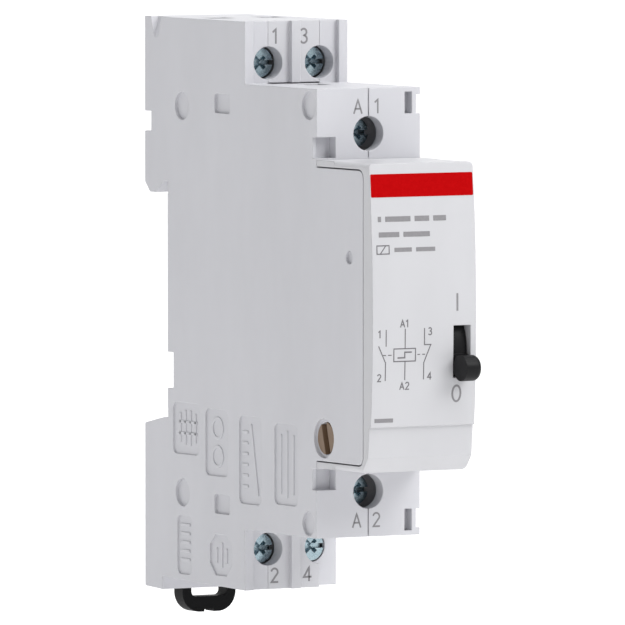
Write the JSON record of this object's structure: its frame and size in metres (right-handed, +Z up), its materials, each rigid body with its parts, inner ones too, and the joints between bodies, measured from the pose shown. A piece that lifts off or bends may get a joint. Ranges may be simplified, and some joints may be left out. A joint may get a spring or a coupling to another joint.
{
  "type": "din rail contactor",
  "caption": "One-module DIN rail switching relay with screw terminals, manual on-off lever, coupling rotor and sprung rail clip.",
  "frame": {"origin": "centre of the seat that rests on the mounting rail, at the middle of the module's width and of the rail's width", "axes": "+Z up, front faces -Y, +X to the right when seen from the front"},
  "size_m": [0.0176, 0.0707, 0.0891],
  "materials": {
    "shell_plastic": "fine moulded texture, satin",
    "cap_plastic": "satin",
    "partition_plastic": "satin",
    "lever_plastic": "satin",
    "clip_plastic": "satin",
    "rotor_plastic": "satin",
    "carrier_plastic": "matt",
    "pawl_plastic": "satin",
    "pin_steel": "ground",
    "zinc_steel": "zinc plated, blue passivated",
    "copper_strip": "bright copper strip",
    "silver_tip": "bright silver alloy",
    "winding_copper": "enamelled copper wire",
    "soft_iron": "bright nickel flash",
    "spring_steel": "bright spring steel"
  },
  "bodies": {
    "housing": {"left_shell": "shell_plastic", "right_shell": "shell_plastic", "front_cap": "cap_plastic", "upper_terminal_partition": "partition_plastic", "lower_terminal_partition": "partition_plastic", "lever_pin": "pin_steel", "carrier_pin": "pin_steel", "busbar_1": "copper_strip", "busbar_2": "copper_strip", "busbar_3": "copper_strip", "busbar_4": "copper_strip", "busbar_a1": "copper_strip", "busbar_a2": "copper_strip", "fixed_contact_1": "silver_tip", "fixed_contact_2": "silver_tip", "fixed_contact_3": "silver_tip", "fixed_contact_4": "silver_tip", "coil_bobbin": "carrier_plastic", "coil_winding": "winding_copper", "coil_core": "soft_iron", "coil_yoke": "soft_iron", "armature_spring": "spring_steel", "clip_spring": "spring_steel"},
    "lever": {"manual_lever": "lever_plastic"},
    "rotor": {"coupling_rotor": "rotor_plastic"},
    "carrier": {"contact_carrier": "carrier_plastic", "moving_contact_left": "copper_strip", "moving_contact_right": "copper_strip"},
    "armature_body": {"armature": "soft_iron", "drive_pawl": "pawl_plastic"},
    "clip": {"din_clip": "clip_plastic"},
    "screw_1": {"terminal_screw_1": "zinc_steel"},
    "cage_1": {"clamp_cage_1": "zinc_steel"},
    "screw_2": {"terminal_screw_2": "zinc_steel"},
    "cage_2": {"clamp_cage_2": "zinc_steel"},
    "screw_3": {"terminal_screw_3": "zinc_steel"},
    "cage_3": {"clamp_cage_3": "zinc_steel"},
    "screw_4": {"terminal_screw_4": "zinc_steel"},
    "cage_4": {"clamp_cage_4": "zinc_steel"},
    "screw_a1": {"terminal_screw_a1": "zinc_steel"},
    "cage_a1": {"clamp_cage_a1": "zinc_steel"},
    "screw_a2": {"terminal_screw_a2": "zinc_steel"},
    "cage_a2": {"clamp_cage_a2": "zinc_steel"}
  },
  "joints": [
    {"name": "lever_turn", "type": "hinge", "parent": "housing", "child": "lever", "pos_m": [0.00635, -0.05, -0.00505], "axis": [-1, 0, 0], "range_deg": [0, 22]},
    {"name": "rotor_turn", "type": "hinge", "parent": "housing", "child": "rotor", "pos_m": [0, -0.0461, -0.01805], "axis": [1, 0, 0], "range_deg": [0, 28.29]},
    {"name": "carrier_turn", "type": "hinge", "parent": "housing", "child": "carrier", "pos_m": [0, -0.033, -0.01], "axis": [-1, 0, 0], "range_deg": [0, 12.52]},
    {"name": "armature_swing", "type": "hinge", "parent": "housing", "child": "armature_body", "pos_m": [0, -0.00395, 0.0144], "axis": [1, 0, 0], "range_deg": [0, 6], "stiffness_Nm_per_rad": 0.02, "springref_deg": -5.73},
    {"name": "clip_slide", "type": "slide", "parent": "housing", "child": "clip", "axis": [0, 0, -1], "range_m": [0, 0.0035], "stiffness_N_per_m": 1500, "springref_m": -0.002, "deforming": ["clip_spring"]},
    {"name": "screw_turn_1", "type": "hinge", "parent": "housing", "child": "screw_1", "pos_m": [-0.00435, -0.015, 0.0359], "axis": [0, 1, 0], "range_deg": [0, 1810]},
    {"name": "cage_slide_1", "type": "slide", "parent": "housing", "child": "cage_1", "axis": [0, -1, 0], "range_m": [0, 0.003]},
    {"name": "screw_turn_2", "type": "hinge", "parent": "housing", "child": "screw_2", "pos_m": [-0.00435, -0.015, -0.0359], "axis": [0, 1, 0], "range_deg": [0, 1810]},
    {"name": "cage_slide_2", "type": "slide", "parent": "housing", "child": "cage_2", "axis": [0, -1, 0], "range_m": [0, 0.003]},
    {"name": "screw_turn_3", "type": "hinge", "parent": "housing", "child": "screw_3", "pos_m": [0.00435, -0.015, 0.0359], "axis": [0, 1, 0], "range_deg": [0, 1810]},
    {"name": "cage_slide_3", "type": "slide", "parent": "housing", "child": "cage_3", "axis": [0, -1, 0], "range_m": [0, 0.003]},
    {"name": "screw_turn_4", "type": "hinge", "parent": "housing", "child": "screw_4", "pos_m": [0.00435, -0.015, -0.0359], "axis": [0, 1, 0], "range_deg": [0, 1810]},
    {"name": "cage_slide_4", "type": "slide", "parent": "housing", "child": "cage_4", "axis": [0, -1, 0], "range_m": [0, 0.003]},
    {"name": "screw_turn_a1", "type": "hinge", "parent": "housing", "child": "screw_a1", "pos_m": [0, -0.036, 0.0262], "axis": [0, 1, 0], "range_deg": [0, 1510]},
    {"name": "cage_slide_a1", "type": "slide", "parent": "housing", "child": "cage_a1", "axis": [0, -1, 0], "range_m": [0, 0.0025]},
    {"name": "screw_turn_a2", "type": "hinge", "parent": "housing", "child": "screw_a2", "pos_m": [0, -0.036, -0.0262], "axis": [0, 1, 0], "range_deg": [0, 1510]},
    {"name": "cage_slide_a2", "type": "slide", "parent": "housing", "child": "cage_a2", "axis": [0, -1, 0], "range_m": [0, 0.0025]}
  ],
  "couplings": [
    {"joint": "rotor_turn", "follows": "lever_turn", "ratio": 1.2838},
    {"joint": "carrier_turn", "follows": "lever_turn", "ratio": 0.56674},
    {"joint": "screw_turn_1", "follows": "cage_slide_1", "rad_per_m": 10472},
    {"joint": "screw_turn_2", "follows": "cage_slide_2", "rad_per_m": 10472},
    {"joint": "screw_turn_3", "follows": "cage_slide_3", "rad_per_m": 10472},
    {"joint": "screw_turn_4", "follows": "cage_slide_4", "rad_per_m": 10472},
    {"joint": "screw_turn_a1", "follows": "cage_slide_a1", "rad_per_m": 10472},
    {"joint": "screw_turn_a2", "follows": "cage_slide_a2", "rad_per_m": 10472}
  ]
}
